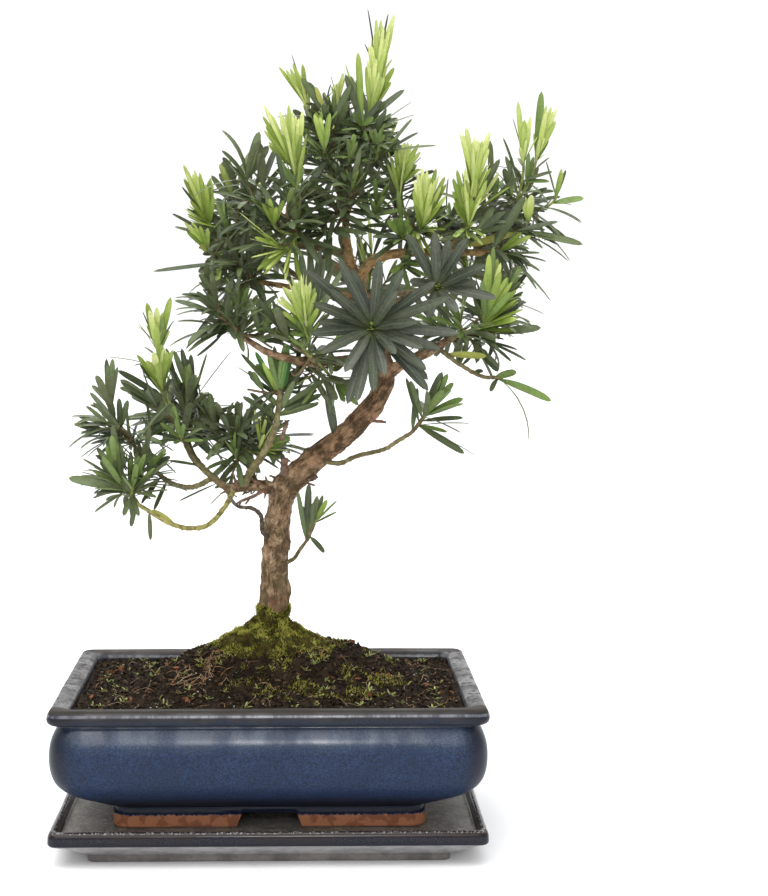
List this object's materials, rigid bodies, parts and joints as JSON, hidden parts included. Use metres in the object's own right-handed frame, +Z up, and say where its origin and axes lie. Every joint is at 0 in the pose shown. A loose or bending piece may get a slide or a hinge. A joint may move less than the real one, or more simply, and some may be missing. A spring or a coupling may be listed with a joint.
{
  "type": "buddhist pine bonsai",
  "caption": "Bonsai tree with an S-curved trunk, open strap-leaved foliage, a blue glazed pot on short feet and a matching tray.",
  "frame": {"origin": "centre of the tray's flat underside", "axes": "+Z up, +X to the right and -Y to the front, the side that the picture shows"},
  "size_m": [0.3856, 0.2725, 0.5804],
  "materials": {
    "pot_glaze": "gloss",
    "tray_glaze": "gloss",
    "bare_clay": "matte",
    "soil": "matte",
    "moss": "matte",
    "bark": "matte",
    "leaf": "satin"
  },
  "bodies": {
    "root": {"bough_back": "bark", "bough_back_left": "bark", "bough_back_right": "bark", "bough_left_far": "bark", "bough_left_high": "bark", "bough_left_mid": "bark", "bough_left_side": "bark", "bough_low_left": "bark", "bough_right_high": "bark", "bough_right_mid": "bark", "dead_twig": "bark", "foliage_apex": "leaf", "foliage_back": "leaf", "foliage_back_left": "leaf", "foliage_back_right": "leaf", "foliage_left_far": "leaf", "foliage_left_front": "leaf", "foliage_left_high": "leaf", "foliage_left_mid": "leaf", "foliage_left_side": "leaf", "foliage_low_back": "leaf", "foliage_low_end": "leaf", "foliage_low_far": "leaf", "foliage_low_inner": "leaf", "foliage_low_mid": "leaf", "foliage_low_rise": "leaf", "foliage_low_sprig": "leaf", "foliage_low_twig": "leaf", "foliage_right_crook": "leaf", "foliage_right_far": "leaf", "foliage_right_high": "leaf", "foliage_right_mid": "leaf", "foliage_right_out": "leaf", "foliage_right_tip": "leaf", "foliage_rosette": "leaf", "foliage_rosette_right": "leaf", "foliage_top_back": "leaf", "foliage_top_left": "leaf", "foliage_top_mid": "leaf", "leader_left": "bark", "left_front_twig": "bark", "low_left_back": "bark", "low_left_far": "bark", "low_left_inner": "bark", "low_left_loop": "bark", "low_left_loop_end": "bark", "low_left_out": "bark", "low_left_rise": "bark", "moss": "moss", "pot": "pot_glaze", "right_high_crook": "bark", "right_high_tip": "bark", "right_high_up": "bark", "right_low_sprig": "bark", "right_low_twig": "bark", "right_mid_out": "bark", "soil": "soil", "tray": "tray_glaze", "trunk": "bark"}
  },
  "joints": []
}
